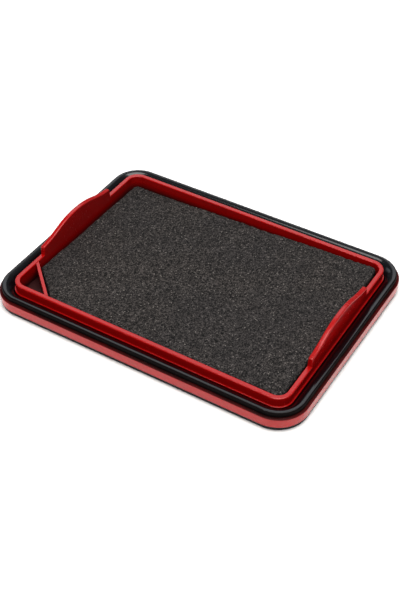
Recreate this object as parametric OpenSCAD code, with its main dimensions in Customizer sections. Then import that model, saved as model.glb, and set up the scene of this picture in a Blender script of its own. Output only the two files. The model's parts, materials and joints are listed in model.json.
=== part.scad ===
// Foam ink pad in a lift-out tray.
// A red outer shell is clamped between a black bottom plate and a black dished
// rim frame. The red tray drops into the frame and lifts out by two arched
// grips. It holds an ink felt and a foam pad, and one corner is walled off as
// a refill well. All sizes are millimetres; the origin is the middle of the
// footprint, on the surface that the pad stands on, with +Z up.

/* [Body] */
// Overall length of the outer shell, along X
body_l = 135; // [120:1:160]
// Overall width of the outer shell, along Y
body_w = 100; // [90:1:125]
// Corner radius of the outer shell
corner_r = 12.5; // [12:0.5:16]
// Height of the shell's visible red band
band_h = 4.4; // [4:0.1:7]
// Thickness of the shell's outer wall
band_t = 2.6; // [2:0.1:3]
// Thickness of the shell's bottom flange
flange_t = 0.8; // [0.8:0.1:1.2]

/* [Bottom plate and feet] */
// Thickness of the bottom plate
plate_t = 1.5; // [1.4:0.1:2.5]
// How far the plate's edge is set in from the shell
plate_inset = 0.4; // [0.2:0.1:1]
// Diameter of each rubber foot
foot_d = 10; // [6:0.5:14]
// How far the feet stand proud of the plate
foot_proud = 0.3; // [0.2:0.1:1]
// Distance of the feet from the middle, along X
foot_x = 50; // [35:1:52]
// Distance of the feet from the middle, along Y
foot_y = 33; // [25:1:35]

/* [Rim frame] */
// Width of the red ledge left showing outside the frame
ledge_w = 1.1; // [0.8:0.1:1.5]
// Height of the frame's lip above the ledge
lip_h = 2.1; // [1.5:0.1:3]
// How far the frame's top falls from its lip to the tray
dish_h = 3.2; // [2.6:0.1:3.4]
// Radius of the shoulder between the lip and the slope
shoulder_r = 3.1; // [2.6:0.1:3.3]

/* [Tray] */
// Distance of the tray's wall from the shell's outer face
tray_inset = 6.5; // [6.3:0.1:7]
// Thickness of the tray's wall
wall_t = 2; // [1.6:0.1:2.4]
// Thickness of the tray's floor
floor_t = 1; // [0.8:0.1:1.5]
// Height of the tray's rim above the frame's lip
rim_h = 1.6; // [1.2:0.1:3]
// Running gap between the tray and the frame
tray_gap = 0.3; // [0.2:0.05:0.5]

/* [Lift grips] */
// Length of each grip, along Y
grip_l = 45.6; // [36:0.2:54]
// Height of the grip's crown above the tray's rim
grip_h = 8.1; // [6:0.1:12]
// Radius of the crown
crown_r = 38; // [32:1:44]
// Radius of the hollow sweep on each side of the crown
sweep_r = 42; // [36:1:50]
// Angle at which the crown turns into the sweep
crown_a = 19.3; // [17:0.1:20]

/* [Refill well] */
// Length of the well along the tray's front wall
well_l = 15.6; // [12:0.1:20]
// Length of the well along the tray's end wall
well_w = 14.5; // [12:0.1:20]
// Thickness of the diagonal rib
rib_t = 1.2; // [1:0.1:1.6]

/* [Felt and foam] */
// Thickness of the ink felt
felt_t = 1; // [0.8:0.1:2]
// Thickness of the foam at its low end
foam_low_t = 3.1; // [2.5:0.1:3.2]
// Thickness of the foam at its high end
foam_high_t = 5.7; // [5:0.1:5.8]
// Gap between the foam and the tray's wall
foam_gap = 0.5; // [0.3:0.1:1]

/* [Screws] */
// Diameter of the screw's shank
screw_d = 2; // [1.6:0.1:2.2]
// Diameter of the countersunk head
head_d = 3.8; // [3.2:0.1:4]
// Length of the screw
screw_l = 4.4; // [4:0.1:4.6]

/* [Hidden] */
$fn = 96;
eps = 0.01;

// centres of the corner arcs, which all the rings share
arc_x = body_l / 2 - corner_r;
arc_y = body_w / 2 - corner_r;

// heights, from the bottom up
plate_z = foot_proud;
shell_z = plate_z + plate_t;
ledge_z = shell_z + band_h;
lip_z = ledge_z + lip_h;
dish_z = lip_z - dish_h;
rim_z = lip_z + rim_h;
tray_z = shell_z + 0.1;
felt_z = tray_z + floor_t;
foam_z = felt_z + felt_t;
grip_z = rim_z + grip_h;

// distances from the corner arcs' centres, from the outside in
lip_u = corner_r - ledge_w;
band_in_u = corner_r - band_t;
wall_u = corner_r - tray_inset;
wall_in_u = wall_u - wall_t;
frame_in_u = wall_u + tray_gap;
spigot_u = band_in_u - 0.1;
plate_u = corner_r - plate_inset;

lip_round = 0.5;
crest_u = lip_u - lip_round - 0.1;
band_round = 0.5;
rim_round = 0.4;
bead_w = 0.5;
bead_h = 0.5;
bead_z = dish_z + 0.45;
plate_round = 0.5;
foot_h = 1;
foot_round = 0.3;
recess_gap = 0.1;
core_w = 1.2;
core_h = 2.4;

// screws stand on the diagonals of the corners, in the middle of the frame's wall
screw_u = (frame_in_u + spigot_u) / 2;
screw_x = arc_x + screw_u * cos(45);
screw_y = arc_y + screw_u * sin(45);
head_z = plate_z + 0.1;
head_h = (head_d - screw_d) / 2;
screw_gap = 0.15;
pilot_gap = 0.02;
pilot_h = head_z + screw_l + 0.3 - shell_z;
slot_w = 0.5;
slot_l = 2.4;
slot_h = 0.5;

// slots under the refill well's rib, which let the ink through to the felt
wick_n = 3;
wick_w = 2;
wick_pitch = 4;
rib_a = atan2(well_w, well_l);
rib_len = norm([well_l, well_w]);

// a profile drawn as [distance from the corner arcs' centres, height],
// carried once round the rounded rectangle
module round_ring() {
    for (a = [0, 90, 180, 270]) {
        sx = (a == 0 || a == 270) ? 1 : -1;
        sy = (a < 180) ? 1 : -1;
        translate([sx * arc_x, sy * arc_y, 0])
            rotate(a)
                rotate_extrude(angle = 90)
                    children();
    }
    for (s = [1, -1]) {
        translate([0, s * arc_y, 0])
            rotate([90, 0, s * 90])
                linear_extrude(height = 2 * arc_x, center = true)
                    children();
        translate([s * arc_x, 0, 0])
            rotate([90, 0, s > 0 ? 0 : 180])
                linear_extrude(height = 2 * arc_y, center = true)
                    children();
    }
}

// flat outline of the rounded rectangle at distance u from the arcs' centres
module outline(u) {
    square([2 * (arc_x + u), 2 * arc_y], center = true);
    square([2 * arc_x, 2 * (arc_y + u)], center = true);
    for (sx = [1, -1], sy = [1, -1])
        translate([sx * arc_x, sy * arc_y])
            circle(r = u);
}

// what is cut from a square corner at [u, z] to round it; su and sz point
// from the corner into the section
module corner_cut(u, z, su, sz, r) {
    translate([u, z])
        scale([su, sz])
            difference() {
                translate([-1, -1])
                    square(1 + r);
                translate([r, r])
                    circle(r = r);
            }
}

// rectangle from [u0, z0] to [u1, z1] with its outer top, outer bottom and
// inner top corners rounded where asked
module bar(u0, u1, z0, z1, r_top, r_bottom = 0, r_in = 0) {
    difference() {
        translate([u0, z0])
            square([u1 - u0, z1 - z0]);
        corner_cut(u1, z1, -1, -1, r_top);
        if (r_bottom > 0)
            corner_cut(u1, z0, -1, 1, r_bottom);
        if (r_in > 0)
            corner_cut(u0, z1, 1, -1, r_in);
    }
}

module at_corners() {
    for (sx = [1, -1], sy = [1, -1])
        translate([sx * screw_x, sy * screw_y, 0])
            children();
}

// ---- outer shell: the red band and the flange that the screws pass through
module base_shell() {
    color("firebrick")
        difference() {
            round_ring() {
                union() {
                    bar(band_in_u, corner_r, shell_z, ledge_z, band_round, band_round);
                    translate([frame_in_u, shell_z])
                        square([band_in_u - frame_in_u + eps, flange_t]);
                }
            }
            at_corners()
                translate([0, 0, shell_z - 1])
                    cylinder(d = screw_d + 2 * screw_gap, h = flange_t + 2);
        }
}

// ---- bottom plate, with countersunk holes and pockets for the feet
module base_plate() {
    color("#1b1b1e")
        difference() {
            union() {
                round_ring()
                    mirror([0, 1])
                        bar(0, plate_u, -shell_z, -plate_z, plate_round);
                translate([0, 0, plate_z])
                    linear_extrude(height = plate_t)
                        square([2 * arc_x, 2 * arc_y], center = true);
            }
            at_corners() {
                translate([0, 0, -1])
                    cylinder(d = screw_d + 2 * screw_gap, h = shell_z + 2);
                translate([0, 0, plate_z - eps])
                    cylinder(
                        r1 = head_d / 2 + screw_gap + 0.1,
                        r2 = screw_d / 2 + screw_gap,
                        h = head_h + 0.1
                    );
            }
            for (sx = [1, -1], sy = [1, -1])
                translate([sx * foot_x, sy * foot_y, plate_z - 1])
                    cylinder(d = foot_d + 2 * recess_gap, h = 1 + foot_h - foot_proud);
        }
}

// ---- rim frame: raised lip outside, and a rounded shoulder that slopes down
// to the tray
module frame_section() {
    centre = [crest_u, lip_z - shoulder_r];
    slope_end = [frame_in_u, dish_z];
    run = centre - slope_end;
    slope_l = sqrt(run * run - shoulder_r * shoulder_r);
    slope_a = atan2(run[1], run[0]) + asin(shoulder_r / norm(run));
    intersection() {
        union() {
            bar(frame_in_u, lip_u, ledge_z, lip_z, lip_round);
            translate([frame_in_u, shell_z + flange_t])
                square([spigot_u - frame_in_u, ledge_z - shell_z - flange_t + eps]);
        }
        union() {
            translate(centre)
                circle(r = shoulder_r);
            polygon([
                slope_end,
                slope_end + slope_l * [cos(slope_a), sin(slope_a)],
                centre,
                [crest_u, lip_z],
                [lip_u, lip_z],
                [lip_u, shell_z],
                [frame_in_u, shell_z]
            ]);
        }
    }
}

module rim_frame() {
    color("#232327")
        difference() {
            round_ring()
                frame_section();
            at_corners()
                translate([0, 0, shell_z])
                    cylinder(d = screw_d + 2 * pilot_gap, h = pilot_h);
            for (s = [1, -1]) {
                translate([0, s * (arc_y + screw_u), shell_z + flange_t + core_h / 2 - eps])
                    cube([2 * arc_x - 4, core_w, core_h + eps], center = true);
                translate([s * (arc_x + screw_u), 0, shell_z + flange_t + core_h / 2 - eps])
                    cube([core_w, 2 * arc_y - 4, core_h + eps], center = true);
            }
        }
}

// ---- lift-out tray, with its two arched grips and the refill well
module grip_face() {
    crown_c = [0, grip_z - crown_r];
    turn = crown_c + crown_r * [sin(crown_a), cos(crown_a)];
    sweep_c = crown_c + (crown_r + sweep_r) * [sin(crown_a), cos(crown_a)];
    intersection() {
        translate(crown_c)
            circle(r = crown_r, $fn = 360);
        translate([-turn[0], felt_z])
            square([2 * turn[0], grip_z - felt_z]);
    }
    for (side = [0, 1])
        mirror([side, 0])
            difference() {
                translate([turn[0] - eps, felt_z])
                    square([grip_l / 2 - turn[0] + eps, turn[1] - felt_z]);
                translate(sweep_c)
                    circle(r = sweep_r, $fn = 360);
            }
}

module well_rib() {
    front_y = -(arc_y + wall_in_u);
    end_x = -(arc_x + wall_in_u);
    translate([end_x, front_y + well_w, tray_z])
        rotate(-rib_a)
            difference() {
                translate([0, -rib_t, 0])
                    cube([rib_len, rib_t, rim_z - tray_z - 0.2]);
                for (i = [0 : wick_n - 1])
                    translate([
                        rib_len / 2 + (i - (wick_n - 1) / 2) * wick_pitch - wick_w / 2,
                        -rib_t - 1,
                        floor_t
                    ])
                        cube([wick_w, rib_t + 2, felt_t]);
            }
}

module pad_tray() {
    color("crimson") {
        round_ring() {
            union() {
                bar(wall_in_u, wall_u, tray_z, rim_z, rim_round, 0.8, rim_round);
                bar(wall_u - 0.5, wall_u + bead_w, bead_z, bead_z + bead_h, 0.2, 0.2);
            }
        }
        translate([0, 0, tray_z])
            linear_extrude(height = floor_t)
                outline(wall_in_u + 0.2);
        for (s = [1, -1])
            translate([s * (arc_x + wall_in_u + wall_t / 2), 0, 0])
                rotate([90, 0, 90])
                    linear_extrude(height = wall_t, center = true)
                        grip_face();
        intersection() {
            well_rib();
            translate([0, 0, tray_z])
                linear_extrude(height = rim_z)
                    outline(wall_in_u + wall_t / 2);
        }
    }
}

// ---- felt and foam share one outline, cut off along the refill well's rib
module pad_outline(gap) {
    difference() {
        outline(wall_in_u - gap);
        translate([-(arc_x + wall_in_u), -(arc_y + wall_in_u) + well_w])
            rotate(-rib_a)
                translate([-20, -40])
                    square([rib_len + 40, 40 + gap]);
    }
}

module ink_felt() {
    color("#4a4348")
        translate([0, 0, felt_z])
            linear_extrude(height = felt_t)
                pad_outline(0.3);
}

// the foam sits a little high at its right-hand end, so its top face is tilted
module foam_pad() {
    half_l = arc_x + wall_in_u;
    tilt = atan2(foam_high_t - foam_low_t, 2 * half_l);
    mid_t = (foam_high_t + foam_low_t) / 2;
    color("#3c3a3a")
        difference() {
            translate([0, 0, foam_z])
                linear_extrude(height = foam_high_t + 1)
                    pad_outline(foam_gap);
            translate([0, 0, foam_z + mid_t])
                rotate([0, -tilt, 0])
                    translate([-body_l, -body_w, 0])
                        cube([2 * body_l, 2 * body_w, 10]);
        }
}

// ---- rubber foot, pressed and glued into its pocket
module foot(sx, sy) {
    color("#141414")
        translate([sx * foot_x, sy * foot_y, 0])
            rotate_extrude()
                mirror([0, 1])
                    bar(0, foot_d / 2, -foot_h, 0, foot_round);
}

module foot_front_left() { foot(-1, -1); }
module foot_front_right() { foot(1, -1); }
module foot_rear_left() { foot(-1, 1); }
module foot_rear_right() { foot(1, 1); }

// ---- countersunk screws, put in from below through the plate and the shell
module base_screws() {
    color("silver")
        at_corners()
            difference() {
                union() {
                    translate([0, 0, head_z])
                        cylinder(d1 = head_d, d2 = screw_d, h = head_h);
                    translate([0, 0, head_z + eps])
                        cylinder(d = screw_d, h = screw_l);
                }
                for (a = [0, 90])
                    rotate(a)
                        translate([0, 0, head_z])
                            cube([slot_l, slot_w, 2 * slot_h], center = true);
            }
}

base_shell();
base_plate();
rim_frame();
pad_tray();
ink_felt();
foam_pad();
foot_front_left();
foot_front_right();
foot_rear_left();
foot_rear_right();
base_screws();
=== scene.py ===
import math

import bmesh
import bpy
import numpy as np
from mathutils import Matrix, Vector
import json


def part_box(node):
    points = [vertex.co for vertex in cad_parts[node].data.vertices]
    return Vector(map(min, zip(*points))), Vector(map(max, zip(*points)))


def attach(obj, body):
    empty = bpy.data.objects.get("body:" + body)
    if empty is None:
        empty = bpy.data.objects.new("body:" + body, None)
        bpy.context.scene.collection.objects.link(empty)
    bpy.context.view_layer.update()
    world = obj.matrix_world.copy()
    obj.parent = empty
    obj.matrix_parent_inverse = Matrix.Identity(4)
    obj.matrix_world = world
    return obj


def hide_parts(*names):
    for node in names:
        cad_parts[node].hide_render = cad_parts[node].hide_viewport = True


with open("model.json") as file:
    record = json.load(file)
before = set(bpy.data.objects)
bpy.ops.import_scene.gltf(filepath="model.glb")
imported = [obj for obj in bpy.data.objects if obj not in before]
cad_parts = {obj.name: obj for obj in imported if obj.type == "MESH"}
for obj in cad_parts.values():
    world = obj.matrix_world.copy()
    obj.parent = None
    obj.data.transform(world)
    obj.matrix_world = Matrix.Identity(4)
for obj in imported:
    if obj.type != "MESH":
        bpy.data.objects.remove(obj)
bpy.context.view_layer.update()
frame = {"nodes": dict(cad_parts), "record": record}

MM = 0.001

# ---- Camera, floor and light -------------------------------------------------
# The pad stands on a plain pale table top. A wide softbox overhead is the main
# light, with a fill from the front and two windows that the gloss picks up.
camera_data = bpy.data.cameras.new("camera")
camera_data.lens = 66.67           # millimetres, on a sensor 36 mm wide
camera_data.sensor_width = 36.0
camera_data.clip_start = 0.01
camera_data.clip_end = 20.0
camera = bpy.data.objects.new("camera", camera_data)
bpy.context.scene.collection.objects.link(camera)
bpy.context.scene.camera = camera

VIEW_AZIMUTH = math.radians(31.43)
VIEW_ELEVATION = math.radians(42.32)
VIEW_DISTANCE = 432.0 * MM
VIEW_TARGET = Vector((5.4, -9.15, 5.6)) * MM
back = Vector((
    math.sin(VIEW_AZIMUTH) * math.cos(VIEW_ELEVATION),
    -math.cos(VIEW_AZIMUTH) * math.cos(VIEW_ELEVATION),
    math.sin(VIEW_ELEVATION),
))
camera.location = VIEW_TARGET + back * VIEW_DISTANCE
camera.rotation_mode = "QUATERNION"
camera.rotation_quaternion = (-back).to_track_quat("-Z", "Y")

bpy.context.scene.view_settings.view_transform = "Standard"
bpy.context.scene.view_settings.look = "Medium High Contrast"

world = bpy.data.worlds.new("room")
bpy.context.scene.world = world
world.use_nodes = True
room_tree = world.node_tree
room = room_tree.nodes["Background"]
height = room_tree.nodes.new("ShaderNodeSeparateXYZ")
room_tree.links.new(room_tree.nodes.new("ShaderNodeTexCoord").outputs["Generated"], height.inputs[0])
walls = room_tree.nodes.new("ShaderNodeValToRGB")
walls.color_ramp.elements[0].position = 0.02
walls.color_ramp.elements[0].color = (0.16, 0.165, 0.17, 1)
walls.color_ramp.elements[1].position = 0.9
walls.color_ramp.elements[1].color = (0.26, 0.265, 0.275, 1)
room_tree.links.new(height.outputs["Z"], walls.inputs["Fac"])
room_tree.links.new(walls.outputs["Color"], room.inputs["Color"])
room.inputs["Strength"].default_value = 1.0


def soft_light(name, direction, distance, width, height, radiance, colour=(1, 1, 1)):
    """A flat soft light that faces the pad from the given direction."""
    data = bpy.data.lights.new(name, "AREA")
    data.shape = "RECTANGLE"
    data.size = width
    data.size_y = height
    data.energy = radiance * math.pi * width * height
    data.color = colour
    light = bpy.data.objects.new(name, data)
    bpy.context.scene.collection.objects.link(light)
    toward = Vector(direction).normalized()
    light.location = toward * distance
    light.rotation_mode = "QUATERNION"
    light.rotation_quaternion = toward.to_track_quat("Z", "Y")


soft_light("overhead_softbox", (0.12, -0.08, 0.99), 1.3, 1.1, 1.1, 5.0, (1.0, 0.99, 0.97))
soft_light("front_fill", (0.1, -0.8, 0.6), 2.0, 1.6, 0.7, 2.5)
soft_light("left_window", (-0.9, 0.12, 0.43), 1.8, 0.8, 0.5, 1.2, (0.86, 0.93, 1.0))
soft_light("rear_window", (-0.386, 0.66, 0.65), 1.8, 0.9, 0.8, 1.4, (0.95, 0.97, 1.0))

floor_mesh = bpy.data.meshes.new("floor")
floor_half = 3.0
floor_mesh.from_pydata(
    [(-floor_half, -floor_half, 0), (floor_half, -floor_half, 0),
     (floor_half, floor_half, 0), (-floor_half, floor_half, 0)],
    [], [(0, 1, 2, 3)],
)
floor = bpy.data.objects.new("floor", floor_mesh)
bpy.context.scene.collection.objects.link(floor)
floor_paint = bpy.data.materials.new("table_top")
floor_paint.use_nodes = True
floor_shader = floor_paint.node_tree.nodes["Principled BSDF"]
floor_shader.inputs["Base Color"].default_value = (0.9, 0.895, 0.885, 1)
floor_shader.inputs["Roughness"].default_value = 0.75
floor_shader.inputs["Specular IOR Level"].default_value = 0.2
floor_mesh.materials.append(floor_paint)


# ---- Outer shell ---------------------------------------------------------------
# The red band round the outside, moulded in glossy ABS with a narrow ledge on
# top. Its edges carry the small radius of the mould, and the skin shows a faint
# orange peel, hairline scuffs and a little settled dust.
def shader_group(name, inputs, outputs):
    """An empty shader node group with float inputs and named outputs."""
    group = bpy.data.node_groups.new(name, "ShaderNodeTree")
    for label, value in inputs:
        socket = group.interface.new_socket(name=label, in_out="INPUT", socket_type="NodeSocketFloat")
        socket.default_value = value
    for label in outputs:
        group.interface.new_socket(name=label, in_out="OUTPUT", socket_type="NodeSocketFloat")
    return group, group.nodes.new("NodeGroupInput"), group.nodes.new("NodeGroupOutput")


def math_node(tree, operation, a, b=None, c=None, clamp=False):
    """A Math node in tree; a, b and c are sockets or numbers."""
    node = tree.nodes.new("ShaderNodeMath")
    node.operation = operation
    node.use_clamp = clamp
    for socket, value in zip(node.inputs, (a, b, c)):
        if isinstance(value, bpy.types.NodeSocket):
            tree.links.new(value, socket)
        elif value is not None:
            socket.default_value = value
    return node.outputs[0]


def span(tree, value, low, high, to_low=0.0, to_high=1.0):
    """Maps value from the span low to high onto to_low to to_high, clamped."""
    node = tree.nodes.new("ShaderNodeMapRange")
    node.inputs["From Min"].default_value = low
    node.inputs["From Max"].default_value = high
    node.inputs["To Min"].default_value = to_low
    node.inputs["To Max"].default_value = to_high
    tree.links.new(value, node.inputs["Value"])
    return node.outputs["Result"]


def noise(tree, place, scale, detail=2.0, rough=0.5, scale_socket=None):
    """A Noise Texture's value at place; scale is in features a metre."""
    node = tree.nodes.new("ShaderNodeTexNoise")
    node.inputs["Scale"].default_value = scale
    node.inputs["Detail"].default_value = detail
    node.inputs["Roughness"].default_value = rough
    tree.links.new(place, node.inputs["Vector"])
    if scale_socket is not None:
        tree.links.new(scale_socket, node.inputs["Scale"])
    return node.outputs["Fac"]


def mixed(tree, a, b, factor, blend="MIX"):
    """Colour a turning to colour b; each is a socket or an RGB triple."""
    node = tree.nodes.new("ShaderNodeMix")
    node.data_type = "RGBA"
    node.blend_type = blend
    for socket, value in ((node.inputs["A"], a), (node.inputs["B"], b)):
        if isinstance(value, bpy.types.NodeSocket):
            tree.links.new(value, socket)
        else:
            socket.default_value = (*value, 1)
    tree.links.new(factor, node.inputs["Factor"])
    return node.outputs["Result"]


def bump_normal(tree, height, strength, distance):
    """Bumps the shader's normal by height, whose full range stands for distance."""
    bump = tree.nodes.new("ShaderNodeBump")
    bump.inputs["Strength"].default_value = strength
    bump.inputs["Distance"].default_value = distance
    tree.links.new(height, bump.inputs["Height"])
    tree.links.new(bump.outputs["Normal"], tree.nodes["Principled BSDF"].inputs["Normal"])


def moulded_skin_group():
    """Orange peel, scuffs and dust of a moulded plastic skin.

    Height feeds a Bump node, Scuff raises the roughness and Dust is a mask for
    the pale dust that settles on faces that look up."""
    group, ins, outs = shader_group(
        "moulded_skin",
        [("Peel Scale", 900.0), ("Scuffs", 0.5), ("Dust", 0.3)],
        ["Height", "Scuff", "Dust"],
    )
    place = group.nodes.new("ShaderNodeTexCoord").outputs["Object"]
    peel = noise(group, place, 900, 2, 0.5, ins.outputs["Peel Scale"])
    stretch = group.nodes.new("ShaderNodeMapping")
    stretch.inputs["Rotation"].default_value = (0.1, 0.2, 0.6)
    stretch.inputs["Scale"].default_value = (1.0, 14.0, 3.0)
    group.links.new(place, stretch.inputs["Vector"])
    lines = noise(group, stretch.outputs["Vector"], 160, 3, 0.65)
    patches = noise(group, place, 45, 2, 0.5)
    scuff = math_node(group, "MULTIPLY", span(group, lines, 0.58, 0.72), span(group, patches, 0.42, 0.66))
    scuff = math_node(group, "MULTIPLY", scuff, ins.outputs["Scuffs"])
    specks = noise(group, place, 2600, 1, 0.6)
    facing = group.nodes.new("ShaderNodeSeparateXYZ")
    normal = group.nodes.new("ShaderNodeNewGeometry").outputs["Normal"]
    group.links.new(normal, facing.inputs["Vector"])
    up = span(group, facing.outputs["Z"], 0.3, 1.0)
    dust = math_node(group, "MULTIPLY", span(group, specks, 0.62, 0.74), span(group, patches, 0.38, 0.62))
    dust = math_node(group, "MULTIPLY", dust, up)
    dust = math_node(group, "MULTIPLY", dust, ins.outputs["Dust"])
    height = math_node(group, "SUBTRACT", peel, math_node(group, "MULTIPLY", scuff, 0.35))
    group.links.new(height, outs.inputs["Height"])
    group.links.new(scuff, outs.inputs["Scuff"])
    group.links.new(dust, outs.inputs["Dust"])
    return group


MOULDED_SKIN = moulded_skin_group()


# The near black that painted shade and dried ink turn the colour towards.
STAIN_AND_SHADE_BLACK = (0.004, 0.0015, 0.0015)


def moulded_plastic(name, colour, deep, roughness, peel_scale=900, scuffs=0.5, dust=0.3,
                    bump=0.04, ior=1.5, specular=0.5, stain_and_shade=None):
    """A moulded plastic: colour drifts slightly to deep, as the pigment does. The
    last argument, when given, is a function that gives a mask where the colour
    turns near black and the skin matt: painted shade, and inside the tray dried
    ink as well."""
    material = bpy.data.materials.new(name)
    material.use_nodes = True
    tree = material.node_tree
    shader = tree.nodes["Principled BSDF"]
    shader.inputs["IOR"].default_value = ior
    shader.inputs["Specular IOR Level"].default_value = specular
    skin = tree.nodes.new("ShaderNodeGroup")
    skin.node_tree = MOULDED_SKIN
    for label, value in (("Peel Scale", peel_scale), ("Scuffs", scuffs), ("Dust", dust)):
        skin.inputs[label].default_value = value
    place = tree.nodes.new("ShaderNodeTexCoord").outputs["Object"]
    patches = noise(tree, place, 60, 3, 0.6)
    drift = mixed(tree, colour, deep, span(tree, patches, 0.35, 0.7))
    # Painted shade, and in the tray dried ink too: the colour turns near black under the mask.
    if stain_and_shade is not None:
        stain_and_shade_mask = stain_and_shade(tree, place, patches)
        drift = mixed(tree, drift, STAIN_AND_SHADE_BLACK, stain_and_shade_mask)
    tree.links.new(mixed(tree, drift, (0.45, 0.42, 0.4), skin.outputs["Dust"]), shader.inputs["Base Color"])
    rough = math_node(tree, "MULTIPLY_ADD", skin.outputs["Scuff"], 0.35, roughness)
    rough = math_node(tree, "ADD", rough, math_node(tree, "MULTIPLY", skin.outputs["Dust"], 0.3), clamp=True)
    if stain_and_shade is not None:
        rough = math_node(tree, "MULTIPLY_ADD", stain_and_shade_mask, 0.35, rough, clamp=True)
    tree.links.new(rough, shader.inputs["Roughness"])
    bump_normal(tree, skin.outputs["Height"], bump, 0.2 * MM)
    return material


def plain_mesh(piece):
    """Applies every modifier on piece and leaves it a plain mesh."""
    graph = bpy.context.evaluated_depsgraph_get()
    mesh = bpy.data.meshes.new_from_object(piece.evaluated_get(graph))
    piece.modifiers.clear()
    piece.data = mesh
    mesh.name = piece.name


def moulding(node, name, body, material, edge=0.0, above=0.0):
    """A smooth-shaded moulding in the shape of a CAD node. Its sharp edges that
    reach higher than above get the mould radius edge. It replaces the node."""
    mesh = frame["nodes"][node].data.copy()
    mesh.name = name
    mesh.materials.clear()
    for layer in list(mesh.attributes):
        if layer.name == "custom_normal":
            mesh.attributes.remove(layer)
    shape = bmesh.new()
    shape.from_mesh(mesh)
    bmesh.ops.remove_doubles(shape, verts=shape.verts, dist=0.0015 * MM)
    bmesh.ops.dissolve_limit(
        shape, angle_limit=math.radians(0.4), verts=shape.verts, edges=shape.edges
    )
    weight = shape.edges.layers.float.new("bevel_weight_edge")
    for line in shape.edges:
        reach = max(corner.co.z for corner in line.verts)
        if reach > above and line.calc_face_angle(0) > math.radians(50):
            line[weight] = 1.0
    shape.to_mesh(mesh)
    shape.free()
    mesh.materials.append(material)
    piece = bpy.data.objects.new(name, mesh)
    bpy.context.scene.collection.objects.link(piece)
    if edge > 0:
        bevel = piece.modifiers.new("edges", "BEVEL")
        bevel.width = edge
        bevel.segments = 4
        bevel.limit_method = "WEIGHT"
        bevel.use_clamp_overlap = False
        bevel.miter_outer = "MITER_ARC"
        plain_mesh(piece)
    piece.data.shade_smooth()
    piece.data.set_sharp_from_angle(angle=math.radians(35))
    even = piece.modifiers.new("flat_faces_stay_flat", "WEIGHTED_NORMAL")
    even.keep_sharp = True
    plain_mesh(piece)
    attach(piece, body)
    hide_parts(node)
    return piece


def painted_shade_faces(piece, material, chosen):
    """Gives the faces of a moulding that chosen picks a second material, a shaded copy of its own: painted
    shade.
    """
    piece.data.materials.append(material)
    for face in piece.data.polygons:
        if chosen(face):
            face.material_index = 1


shell_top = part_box("base_shell")[1][2]


def ledge_painted_shade(tree, place, patches):
    """Painted shade on the narrow ledge under the frame's lip: the colour turns near black there."""
    parts = tree.nodes.new("ShaderNodeSeparateXYZ")
    tree.links.new(place, parts.inputs[0])
    high = span(tree, parts.outputs["Z"], shell_top - 0.6 * MM, shell_top - 0.1 * MM)
    return math_node(tree, "MULTIPLY", high, span(tree, patches, 0.2, 0.6, 0.8, 0.95))


def red_shell_plastic(name, specular):
    """The shell's glossy red, with painted shade on its ledge."""
    return moulded_plastic(
        name, (0.4, 0.005, 0.005), (0.35, 0.004, 0.004), 0.16, scuffs=0.6, dust=0.15,
        bump=0.02, ior=1.6, specular=specular, stain_and_shade=ledge_painted_shade,
    )


outer_shell = moulding(
    "base_shell", "outer_shell_moulding", "base",
    red_shell_plastic("glossy_red_band", 0.5),
)
# The ledge faces get a copy of the red with little shine, and both materials turn the ledge near black:
# painted shade under the frame's lip.
painted_shade_faces(
    outer_shell, red_shell_plastic("grimed_red_ledge", 0.1),
    lambda face: face.center.z > shell_top - 0.35 * MM,
)

# ---- Bottom plate ---------------------------------------------------------------
# The black plate under the shell, moulded with a fine spark-eroded texture, so
# it is matt. Only its edge shows when the pad stands on a table.
matt_black = moulded_plastic(
    "spark_textured_black", (0.014, 0.012, 0.014), (0.009, 0.008, 0.009), 0.6,
    peel_scale=3200, scuffs=0.7, dust=0.3, bump=0.35, specular=0.2,
)
moulding("base_plate", "bottom_plate_moulding", "base", matt_black)

# ---- Rim frame --------------------------------------------------------------------
# The black frame that the tray drops into, moulded in one piece and screwed down
# on the shell's ledge. Its top is highly polished and falls from a rounded lip to
# the tray, where it mirrors the red wall. The outer side of the lip is a shaded
# copy of the black, reddish and nearly without shine: painted shade.
gloss_black = moulded_plastic(
    "polished_black_frame", (0.003, 0.003, 0.0045), (0.002, 0.002, 0.003), 0.19,
    peel_scale=700, scuffs=0.35, dust=0.05, bump=0.025,
)
# Painted shade: a darker, duller copy of the frame's black for the lip's outer side.
shaded_lip_black = moulded_plastic(
    "matt_black_lip_side", STAIN_AND_SHADE_BLACK, (0.003, 0.0015, 0.0015), 0.54,
    peel_scale=700, scuffs=0.35, dust=0.05, bump=0.025, specular=0.1,
)
rim_frame = moulding("rim_frame", "rim_frame_moulding", "base", gloss_black)
painted_shade_faces(
    rim_frame, shaded_lip_black,
    lambda face: face.normal.xy.dot(face.center.xy.normalized()) > 0.25,
)

# ---- Tray ---------------------------------------------------------------------------
# One red moulding: wall, floor, an arched grip at each end, the rib that walls
# off the refill well, and the bead round the foot of the wall. The grips, which
# rise past the well's mouth, have rounded edges.
tray_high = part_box("pad_tray")[1]
well_low, well_high = frame["record"]["physics"]["openings"][1]["box_m"]
wall_t = 2.0 * MM


def ink_stain_and_painted_shade(tree, place, patches):
    """Dried ink and painted shade inside the tray, darkest low down in the refill well."""
    parts = tree.nodes.new("ShaderNodeSeparateXYZ")
    tree.links.new(place, parts.inputs[0])
    ragged = math_node(tree, "MULTIPLY_ADD", patches, 3.0 * MM, parts.outputs["Z"])
    depth = span(tree, ragged, well_low[2] + 1.8 * MM, well_low[2] + 5.5 * MM, 0.92, 0.0)
    across = math_node(tree, "ABSOLUTE", parts.outputs["X"])
    along = math_node(tree, "ABSOLUTE", parts.outputs["Y"])
    within_x = math_node(tree, "LESS_THAN", across, tray_high[0] - 1.1 * wall_t)
    within_y = math_node(tree, "LESS_THAN", along, tray_high[1] - 1.1 * wall_t)
    return math_node(tree, "MULTIPLY", depth, math_node(tree, "MULTIPLY", within_x, within_y))


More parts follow.
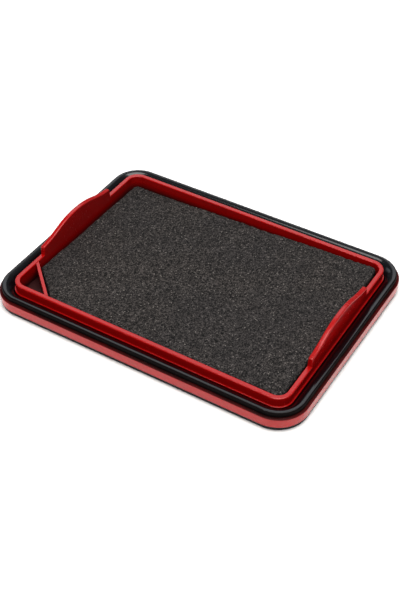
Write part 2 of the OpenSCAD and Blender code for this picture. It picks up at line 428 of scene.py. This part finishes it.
red_tray = moulded_plastic(
    "semi_gloss_red_tray", (0.36, 0.0022, 0.002), (0.31, 0.0016, 0.0015), 0.2,
    peel_scale=1100, scuffs=0.5, dust=0.12, bump=0.03, stain_and_shade=ink_stain_and_painted_shade,
)
moulding(
    "pad_tray", "tray_moulding", "tray", red_tray,
    edge=0.5 * MM, above=well_high[2] + 0.1 * MM,
)


# ---- Foam pad -------------------------------------------------------------------
# Soft open-cell foam, cut from a sheet with a blade, so its sides are a little
# wavy and its top edge is rounded. It lies loose on the felt, slumped at the left
# and far sides, and its skin is a mesh of torn cells with a few larger pits.
def outline_of(node):
    """The convex outline of a CAD node from above, anticlockwise, as an array."""
    mesh = frame["nodes"][node].data
    places = np.zeros(len(mesh.vertices) * 3)
    mesh.vertices.foreach_get("co", places)
    flat = sorted({(round(x, 6), round(y, 6)) for x, y, _ in places.reshape(-1, 3)})

    def half(points):
        chain = []
        for p in points:
            while len(chain) > 1:
                (ax, ay), (bx, by) = chain[-2], chain[-1]
                if (bx - ax) * (p[1] - ay) - (by - ay) * (p[0] - ax) > 1e-10:
                    break
                chain.pop()
            chain.append(p)
        return chain[:-1]

    return np.array(half(flat) + half(flat[::-1]))


def distance_to(outline, places):
    """How far each place is outside the outline, and the outward direction."""
    ends = np.roll(outline, -1, axis=0)
    along = ends - outline
    outward = np.stack([along[:, 1], -along[:, 0]], axis=1)
    outward /= np.linalg.norm(outward, axis=1)[:, None]
    offsets = (outline * outward).sum(axis=1)
    far = places @ outward.T - offsets
    side = far.argmax(axis=-1)
    return far.max(axis=-1), outward[side]


def slab(name, node, cell, top, bottom, inset, rounding, rows):
    """A soft slab in the outline of a CAD node, as a fine even grid of cells.

    top and inset are functions of x and y arrays: the height of the surface, and
    how far the cut side is inside the outline. Its sides have that many rows."""
    outline = outline_of(node)
    low = outline.min(axis=0)
    high = outline.max(axis=0)
    xs = np.arange(low[0] - cell, high[0] + 2 * cell, cell)
    ys = np.arange(low[1] - cell, high[1] + 2 * cell, cell)
    place = np.stack(np.meshgrid(xs, ys), axis=-1)
    far, away = distance_to(outline, place)
    far = far + inset(place[..., 0], place[..., 1])
    inside = far < 0.35 * cell
    kept = inside[:-1, :-1] & inside[:-1, 1:] & inside[1:, :-1] & inside[1:, 1:]
    touching = np.zeros(far.shape, int)
    for row, col in ((0, 0), (0, 1), (1, 0), (1, 1)):
        touching[row:row + kept.shape[0], col:col + kept.shape[1]] += kept
    used = touching > 0
    border = used & (touching < 4)
    place[border] -= (far[border][:, None]) * away[border]
    near = used & ~border & (far > -5 * cell)
    for _ in range(8):
        mean = (
            np.roll(place, 1, 0) + np.roll(place, -1, 0)
            + np.roll(place, 1, 1) + np.roll(place, -1, 1)
        ) / 4
        place[near] = mean[near]
    depth, _ = distance_to(outline, place)
    depth = np.clip(-(depth + inset(place[..., 0], place[..., 1])), 0, rounding)
    height = top(place[..., 0], place[..., 1])
    height = height - rounding + np.sqrt(np.maximum(rounding ** 2 - (rounding - depth) ** 2, 0))

    number = -np.ones(far.shape, int)
    number[used] = np.arange(used.sum())
    points = [(*p, z) for p, z in zip(place[used], height[used])]
    faces = []
    next_round = {}
    for row, col in np.argwhere(kept):
        corners = [
            number[row, col], number[row, col + 1],
            number[row + 1, col + 1], number[row + 1, col],
        ]
        faces.append(corners)
        for (step_row, step_col), a, b in zip(
            ((-1, 0), (0, 1), (1, 0), (0, -1)), corners, corners[1:] + corners[:1]
        ):
            if not kept[row + step_row, col + step_col]:
                next_round[a] = b
    start = next(iter(next_round))
    loop = [start]
    while next_round[loop[-1]] != start:
        loop.append(next_round[loop[-1]])
    above = loop
    for step in range(1, rows + 1):
        level = []
        for index in loop:
            x, y, z = points[index]
            level.append(len(points))
            points.append((x, y, z + (bottom - z) * step / rows))
        for i in range(len(loop)):
            j = (i + 1) % len(loop)
            faces.append([above[j], above[i], level[i], level[j]])
        above = level
    faces.append(above[::-1])
    mesh = bpy.data.meshes.new(name)
    mesh.from_pydata([tuple(float(v) for v in p) for p in points], [],
                     [[int(i) for i in face] for face in faces])
    mesh.validate()
    mesh.shade_smooth()
    piece = bpy.data.objects.new(name, mesh)
    bpy.context.scene.collection.objects.link(piece)
    return piece


def open_cell_tree():
    """Geometry Nodes that sink cells and a few larger pits into a slab's skin.

    It keeps how deep each point lies, from 0 to 1, in the attribute "pore"."""
    tree = bpy.data.node_groups.new("open_cells", "GeometryNodeTree")
    face = tree.interface
    face.new_socket(name="Geometry", in_out="INPUT", socket_type="NodeSocketGeometry")
    for label, value in (
        ("Cell Size", 0.0008), ("Cell Depth", 0.0002), ("Pit Size", 0.003), ("Pit Depth", 0.0004),
        ("Pit Share", 0.3), ("Seed", 3.0),
    ):
        face.new_socket(name=label, in_out="INPUT", socket_type="NodeSocketFloat").default_value = value
    face.new_socket(name="Material", in_out="INPUT", socket_type="NodeSocketMaterial")
    face.new_socket(name="Geometry", in_out="OUTPUT", socket_type="NodeSocketGeometry")
    ins = tree.nodes.new("NodeGroupInput").outputs
    outs = tree.nodes.new("NodeGroupOutput").inputs
    place = tree.nodes.new("GeometryNodeInputPosition").outputs[0]
    normal = tree.nodes.new("GeometryNodeInputNormal").outputs[0]

    def cells(size):
        node = tree.nodes.new("ShaderNodeTexVoronoi")
        node.voronoi_dimensions = "4D"
        tree.links.new(place, node.inputs["Vector"])
        tree.links.new(ins["Seed"], node.inputs["W"])
        tree.links.new(math_node(tree, "DIVIDE", 1.0, size), node.inputs["Scale"])
        return node

    pore = span(tree, cells(ins["Cell Size"]).outputs["Distance"], 0.25, 0.75, 1.0, 0.0)
    large = cells(ins["Pit Size"])
    chance = tree.nodes.new("ShaderNodeSeparateXYZ")
    tree.links.new(large.outputs["Color"], chance.inputs[0])
    chosen = math_node(tree, "LESS_THAN", chance.outputs[0], ins["Pit Share"])
    pit = math_node(tree, "MULTIPLY", span(tree, large.outputs["Distance"], 0.06, 0.3, 1.0, 0.0), chosen)
    sink = math_node(tree, "MULTIPLY", pore, ins["Cell Depth"])
    sink = math_node(tree, "MULTIPLY_ADD", pit, ins["Pit Depth"], sink)
    offset = tree.nodes.new("ShaderNodeVectorMath")
    offset.operation = "SCALE"
    tree.links.new(normal, offset.inputs[0])
    tree.links.new(math_node(tree, "MULTIPLY", sink, -1.0), offset.inputs["Scale"])
    keep = tree.nodes.new("GeometryNodeStoreNamedAttribute")
    keep.data_type = "FLOAT"
    keep.domain = "POINT"
    keep.inputs["Name"].default_value = "pore"
    tree.links.new(ins["Geometry"], keep.inputs["Geometry"])
    tree.links.new(math_node(tree, "MAXIMUM", pore, pit), keep.inputs["Value"])
    move = tree.nodes.new("GeometryNodeSetPosition")
    tree.links.new(keep.outputs["Geometry"], move.inputs["Geometry"])
    tree.links.new(offset.outputs[0], move.inputs["Offset"])
    real = tree.nodes.new("GeometryNodeRealizeInstances")
    tree.links.new(move.outputs["Geometry"], real.inputs["Geometry"])
    paint = tree.nodes.new("GeometryNodeSetMaterial")
    tree.links.new(real.outputs["Geometry"], paint.inputs["Geometry"])
    tree.links.new(ins["Material"], paint.inputs["Material"])
    tree.links.new(paint.outputs["Geometry"], outs["Geometry"])
    return tree


OPEN_CELLS = open_cell_tree()


def apply_tree(piece, tree, **values):
    """Runs a Geometry Nodes tree on piece and leaves a plain mesh. Each keyword is
    an input's name with _ for its spaces."""
    modifier = piece.modifiers.new(tree.name, "NODES")
    modifier.node_group = tree
    sockets = {
        item.name: item.identifier for item in tree.interface.items_tree
        if item.item_type == "SOCKET" and item.in_out == "INPUT"
    }
    for label, value in values.items():
        modifier[sockets[label.replace("_", " ")]] = value
    plain_mesh(piece)


def foam_material():
    """Dark ink-stained foam: pale torn cell walls, painted shade that darkens the pores, and a few painted
    glints on the cell struts.
    """
    material = bpy.data.materials.new("inked_foam")
    material.use_nodes = True
    tree = material.node_tree
    shader = tree.nodes["Principled BSDF"]
    place = tree.nodes.new("ShaderNodeTexCoord").outputs["Object"]
    pore = tree.nodes.new("ShaderNodeAttribute")
    pore.attribute_name = "pore"
    cells = tree.nodes.new("ShaderNodeTexVoronoi")
    cells.inputs["Scale"].default_value = 2100
    tree.links.new(place, cells.inputs["Vector"])
    # Painted highlights: sparse pale glints, as on the struts of the cells.
    glint_cells = tree.nodes.new("ShaderNodeTexVoronoi")
    glint_cells.inputs["Scale"].default_value = 1500
    tree.links.new(place, glint_cells.inputs["Vector"])
    chance = tree.nodes.new("ShaderNodeSeparateXYZ")
    tree.links.new(glint_cells.outputs["Color"], chance.inputs[0])
    painted_glint = math_node(
        tree, "MULTIPLY", span(tree, chance.outputs[0], 0.8, 1.0),
        span(tree, glint_cells.outputs["Distance"], 0.2, 0.45, 1.0, 0.0),
    )
    stain = noise(tree, place, 38, 3, 0.6)
    hollow = span(tree, cells.outputs["Distance"], 0.3, 0.75, 1.0, 0.0)
    # Painted shade: the colour turns nearly black with how deep each cell and pit lies.
    depth = math_node(tree, "MULTIPLY_ADD", pore.outputs["Fac"], 0.6,
                      math_node(tree, "MULTIPLY", hollow, 0.75), clamp=True)
    skin = mixed(tree, (0.074, 0.065, 0.061), (0.001, 0.001, 0.001), depth)
    skin = mixed(tree, skin, (0.86, 0.87, 0.9), span(tree, stain, 0.42, 0.62), "MULTIPLY")
    skin = mixed(tree, skin, (0.22, 0.2, 0.185), painted_glint)
    tree.links.new(skin, shader.inputs["Base Color"])
    rough = math_node(tree, "MULTIPLY_ADD", stain, -0.25, 0.95)
    tree.links.new(rough, shader.inputs["Roughness"])
    shader.inputs["Specular IOR Level"].default_value = 0.25
    bump_normal(tree, cells.outputs["Distance"], 0.8, 0.12 * MM)
    return material


foam_low, foam_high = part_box("foam_pad")
half_long = foam_high[0]
half_wide = foam_high[1]


def foam_top(x, y):
    """The slumped top: low at the far left corner, full at the right end."""
    u = np.clip((x + half_long) / (2 * half_long), 0, 1)
    v = np.clip((y + half_wide) / (2 * half_wide), 0, 1)
    near = 7.1 + 1.3 * u + 0.75 * u ** 2
    distant = 5.9 + 0.9 * u + 2.75 * u ** 2
    height = near * (1 - v) + distant * v
    height += 0.10 * np.sin(x * 130 + y * 70 + 1.0) + 0.07 * np.sin(y * 210 - x * 90)
    height += 0.04 * np.sin(x * 420 + 2.0) * np.sin(y * 380)
    return np.minimum(height * MM, foam_high[2] - 0.02 * MM)


def foam_inset(x, y):
    """The blade's cut wanders, and the pad lies a little to the near right."""
    wander = 0.16 * np.sin(x * 150 + 0.7) + 0.12 * np.sin(x * 330 + y * 90 + 2.1)
    wander = wander + 0.14 * np.sin(y * 190 + 1.9) + 0.08 * np.sin(y * 510)
    gap = 0.3 + 0.5 * np.clip(-x / half_long, 0, 1) * np.clip(0.5 + y / half_wide, 0, 1)
    gap = gap + 0.35 * np.clip(y / half_wide, 0, 1)
    return np.maximum(gap + 0.55 * wander, 0.02) * MM


foam = slab(
    "foam_block", "foam_pad", cell=0.42 * MM, top=foam_top, bottom=foam_low[2],
    inset=foam_inset, rounding=0.7 * MM, rows=7,
)
apply_tree(
    foam, OPEN_CELLS, Cell_Size=0.9 * MM, Cell_Depth=0.26 * MM, Pit_Size=4.0 * MM,
    Pit_Depth=0.3 * MM, Pit_Share=0.22, Seed=3.0, Material=foam_material(),
)
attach(foam, "pad")
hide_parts("foam_pad")

# ---- Ink felt ---------------------------------------------------------------------
# The pressed wool felt under the foam, which holds the ink. It is hidden until
# the foam is lifted out. Its skin is matted fibre, darkest where ink has pooled.
def felt_material():
    """Matted fibres stained with black ink."""
    material = bpy.data.materials.new("inked_felt")
    material.use_nodes = True
    tree = material.node_tree
    shader = tree.nodes["Principled BSDF"]
    place = tree.nodes.new("ShaderNodeTexCoord").outputs["Object"]
    swirl = tree.nodes.new("ShaderNodeTexNoise")
    swirl.inputs["Scale"].default_value = 180
    tree.links.new(place, swirl.inputs["Vector"])
    bend = tree.nodes.new("ShaderNodeVectorMath")
    bend.operation = "MULTIPLY_ADD"
    bend.inputs[1].default_value = (0.006, 0.006, 0.006)
    tree.links.new(swirl.outputs["Color"], bend.inputs[0])
    tree.links.new(place, bend.inputs[2])
    stretch = tree.nodes.new("ShaderNodeMapping")
    stretch.inputs["Scale"].default_value = (1, 7, 1)
    tree.links.new(bend.outputs[0], stretch.inputs["Vector"])
    fibres = noise(tree, stretch.outputs["Vector"], 700, 3, 0.6)
    pooled = noise(tree, place, 50, 3, 0.6)
    dry = span(tree, pooled, 0.35, 0.6, 0.35, 1.0)
    share = math_node(tree, "MULTIPLY", span(tree, fibres, 0.4, 0.7), dry)
    colour = mixed(tree, (0.012, 0.01, 0.012), (0.07, 0.055, 0.06), share)
    tree.links.new(colour, shader.inputs["Base Color"])
    tree.links.new(span(tree, pooled, 0.35, 0.6, 0.7, 0.95), shader.inputs["Roughness"])
    bump_normal(tree, fibres, 0.7, 0.1 * MM)
    return material


felt_low, felt_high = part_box("ink_felt")


def felt_top(x, y):
    """Pressed flat, with slight lumps of matted wool."""
    return felt_high[2] - (0.06 + 0.04 * np.sin(x * 300) * np.sin(y * 260 + 0.5)) * MM


def felt_inset(x, y):
    """A clean punched edge."""
    return (0.06 + 0.04 * np.sin(x * 260 + y * 310)) * MM


felt = slab(
    "felt_sheet", "ink_felt", cell=0.8 * MM, top=felt_top, bottom=felt_low[2],
    inset=felt_inset, rounding=0.25 * MM, rows=2,
)
apply_tree(
    felt, OPEN_CELLS, Cell_Size=1.7 * MM, Cell_Depth=0.09 * MM, Pit_Size=6.0 * MM,
    Pit_Depth=0.12 * MM, Pit_Share=0.2, Seed=8.0, Material=felt_material(),
)
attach(felt, "tray")
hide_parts("ink_felt")

# ---- Feet ---------------------------------------------------------------------------
# Four moulded rubber feet, pressed into pockets in the bottom plate. Two grooves
# in the sole grip the table.
def turned(name, profile, sides):
    """A closed solid turned round Z from (radius, height) pairs in metres. The
    profile starts and ends on the axis."""
    shape = bmesh.new()
    rings = []
    for radius, height in profile:
        if radius == 0:
            rings.append([shape.verts.new((0, 0, height))])
            continue
        rings.append([
            shape.verts.new((
                radius * math.cos(2 * math.pi * i / sides),
                radius * math.sin(2 * math.pi * i / sides),
                height,
            ))
            for i in range(sides)
        ])
    for lower, upper in zip(rings, rings[1:]):
        for i in range(sides):
            j = (i + 1) % sides
            if len(lower) == 1:
                shape.faces.new((lower[0], upper[j], upper[i]))
            elif len(upper) == 1:
                shape.faces.new((lower[i], lower[j], upper[0]))
            else:
                shape.faces.new((lower[i], lower[j], upper[j], upper[i]))
    mesh = bpy.data.meshes.new(name)
    shape.to_mesh(mesh)
    shape.free()
    mesh.shade_smooth()
    mesh.set_sharp_from_angle(angle=math.radians(40))
    piece = bpy.data.objects.new(name, mesh)
    bpy.context.scene.collection.objects.link(piece)
    return piece


def set_out_tree():
    """Geometry Nodes that set a copy of one piece on every point, turned at random."""
    tree = bpy.data.node_groups.new("set_out", "GeometryNodeTree")
    face = tree.interface
    face.new_socket(name="Geometry", in_out="INPUT", socket_type="NodeSocketGeometry")
    face.new_socket(name="Piece", in_out="INPUT", socket_type="NodeSocketObject")
    face.new_socket(name="Turn", in_out="INPUT", socket_type="NodeSocketFloat")
    face.new_socket(name="Seed", in_out="INPUT", socket_type="NodeSocketInt").default_value = 1
    face.new_socket(name="Material", in_out="INPUT", socket_type="NodeSocketMaterial")
    face.new_socket(name="Geometry", in_out="OUTPUT", socket_type="NodeSocketGeometry")
    ins = tree.nodes.new("NodeGroupInput").outputs
    outs = tree.nodes.new("NodeGroupOutput").inputs
    chosen = tree.nodes.new("GeometryNodeObjectInfo")
    tree.links.new(ins["Piece"], chosen.inputs["Object"])
    angle = tree.nodes.new("FunctionNodeRandomValue")
    tree.links.new(ins["Turn"], angle.inputs[3])
    tree.links.new(ins["Seed"], angle.inputs["Seed"])
    turn = tree.nodes.new("ShaderNodeCombineXYZ")
    tree.links.new(angle.outputs[1], turn.inputs["Z"])
    setting = tree.nodes.new("GeometryNodeInstanceOnPoints")
    tree.links.new(ins["Geometry"], setting.inputs["Points"])
    tree.links.new(chosen.outputs["Geometry"], setting.inputs["Instance"])
    tree.links.new(turn.outputs[0], setting.inputs["Rotation"])
    real = tree.nodes.new("GeometryNodeRealizeInstances")
    tree.links.new(setting.outputs["Instances"], real.inputs["Geometry"])
    paint = tree.nodes.new("GeometryNodeSetMaterial")
    tree.links.new(real.outputs["Geometry"], paint.inputs["Geometry"])
    tree.links.new(ins["Material"], paint.inputs["Material"])
    tree.links.new(paint.outputs["Geometry"], outs["Geometry"])
    return tree


SET_OUT = set_out_tree()
ANY_TURN = 6.283


def set_out(name, pattern, places, material, turn, seed, body, nodes):
    """One piece made of a copy of pattern on each place, each turned by a random
    angle up to turn. It replaces the nodes."""
    mesh = bpy.data.meshes.new(name)
    mesh.from_pydata(places, [], [])
    piece = bpy.data.objects.new(name, mesh)
    bpy.context.scene.collection.objects.link(piece)
    apply_tree(piece, SET_OUT, Piece=pattern, Turn=turn, Seed=seed, Material=material)
    bpy.data.objects.remove(pattern)
    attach(piece, body)
    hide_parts(*nodes)


foot_nodes = ["foot_front_left", "foot_front_right", "foot_rear_left", "foot_rear_right"]
foot_boxes = [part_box(node) for node in foot_nodes]
foot_radius = (foot_boxes[0][1][0] - foot_boxes[0][0][0]) / 2
foot_height = foot_boxes[0][1][2]
groove = 0.16 * MM
rim_round = 0.25 * MM
foot_profile = [(0, 0), (foot_radius * 0.38, 0)]
for middle in (0.45, 0.68):
    foot_profile += [
        (foot_radius * (middle - 0.045), 0),
        (foot_radius * (middle - 0.02), groove),
        (foot_radius * (middle + 0.02), groove),
        (foot_radius * (middle + 0.045), 0),
    ]
for step in range(7):
    around = math.radians(90 * step / 6)
    foot_profile.append((
        foot_radius - rim_round * (1 - math.sin(around)),
        rim_round * (1 - math.cos(around)),
    ))
foot_profile += [(foot_radius, foot_height), (0, foot_height)]
foot_rubber = moulded_plastic(
    "foot_rubber", (0.014, 0.014, 0.015), (0.01, 0.01, 0.01), 0.72,
    peel_scale=2600, scuffs=0.9, dust=0.9, bump=0.3,
)
set_out(
    "rubber_feet", turned("foot_pattern", foot_profile, sides=96),
    [((low[0] + high[0]) / 2, (low[1] + high[1]) / 2, 0) for low, high in foot_boxes],
    foot_rubber, turn=ANY_TURN, seed=4, body="base", nodes=foot_nodes,
)

# ---- Screws ---------------------------------------------------------------------------
# Four zinc-plated countersunk screws with a cross recess, driven in from below.
# The plating has a slight blue and yellow cast and an uneven shine.
def screw_pattern(name, head_radius, shank_radius, head_height, length):
    """A screw with its head face at z = 0, looking down, and a cross recess."""
    shape = bmesh.new()
    sides = 48
    rings = []
    for radius, height in (
        (head_radius - 0.08 * MM, 0), (head_radius, 0.06 * MM),
        (shank_radius, head_height), (shank_radius, length - 0.6 * MM),
        (shank_radius * 0.45, length),
    ):
        rings.append([
            shape.verts.new((
                radius * math.cos(2 * math.pi * i / sides),
                radius * math.sin(2 * math.pi * i / sides),
                height,
            ))
            for i in range(sides)
        ])
    for lower, upper in zip(rings, rings[1:]):
        for i in range(sides):
            j = (i + 1) % sides
            shape.faces.new((lower[i], lower[j], upper[j], upper[i]))
    shape.faces.new(rings[-1])
    arm = head_radius * 0.6
    slim = head_radius * 0.15
    outline = []
    for quarter in range(4):
        turn = math.pi / 2 * quarter
        for x, y in ((slim, -slim), (arm, -slim), (arm, slim)):
            outline.append((
                x * math.cos(turn) - y * math.sin(turn),
                x * math.sin(turn) + y * math.cos(turn),
            ))
    mouth = [shape.verts.new((x, y, 0)) for x, y in outline]
    floor_ring = [shape.verts.new((x * 0.62, y * 0.75, 0.75 * MM)) for x, y in outline]
    edges = []
    for loop in (rings[0], mouth):
        for i in range(len(loop)):
            j = (i + 1) % len(loop)
            edges.append(shape.edges.get((loop[i], loop[j])) or shape.edges.new((loop[i], loop[j])))
    bmesh.ops.triangle_fill(shape, use_beauty=True, edges=edges, normal=(0, 0, -1))
    for i in range(len(mouth)):
        j = (i + 1) % len(mouth)
        shape.faces.new((mouth[i], mouth[j], floor_ring[j], floor_ring[i]))
    shape.faces.new(floor_ring)
    bmesh.ops.recalc_face_normals(shape, faces=shape.faces)
    mesh = bpy.data.meshes.new(name)
    shape.to_mesh(mesh)
    shape.free()
    mesh.shade_smooth()
    mesh.set_sharp_from_angle(angle=math.radians(35))
    piece = bpy.data.objects.new(name, mesh)
    bpy.context.scene.collection.objects.link(piece)
    return piece


def zinc_material():
    """Bright zinc plating with a faint cast and an uneven shine."""
    material = bpy.data.materials.new("zinc_plating")
    material.use_nodes = True
    tree = material.node_tree
    shader = tree.nodes["Principled BSDF"]
    shader.inputs["Metallic"].default_value = 1.0
    place = tree.nodes.new("ShaderNodeTexCoord").outputs["Object"]
    cast = noise(tree, place, 900, 2, 0.5)
    fine = noise(tree, place, 6000, 2, 0.6)
    colour = mixed(tree, (0.5, 0.52, 0.56), (0.58, 0.55, 0.46), span(tree, cast, 0.35, 0.65))
    tree.links.new(colour, shader.inputs["Base Color"])
    tree.links.new(span(tree, fine, 0.3, 0.7, 0.24, 0.46), shader.inputs["Roughness"])
    bump_normal(tree, fine, 0.3, 0.03 * MM)
    return material


screws_low, screws_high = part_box("base_screws")
screw_head = 1.9 * MM
screw_x = screws_high[0] - screw_head
screw_y = screws_high[1] - screw_head
set_out(
    "countersunk_screws",
    screw_pattern(
        "screw_pattern", screw_head, shank_radius=1.0 * MM, head_height=0.9 * MM,
        length=screws_high[2] - screws_low[2],
    ),
    [(x, y, screws_low[2]) for x in (-screw_x, screw_x) for y in (-screw_y, screw_y)],
    zinc_material(), turn=ANY_TURN, seed=7, body="base", nodes=["base_screws"],
)
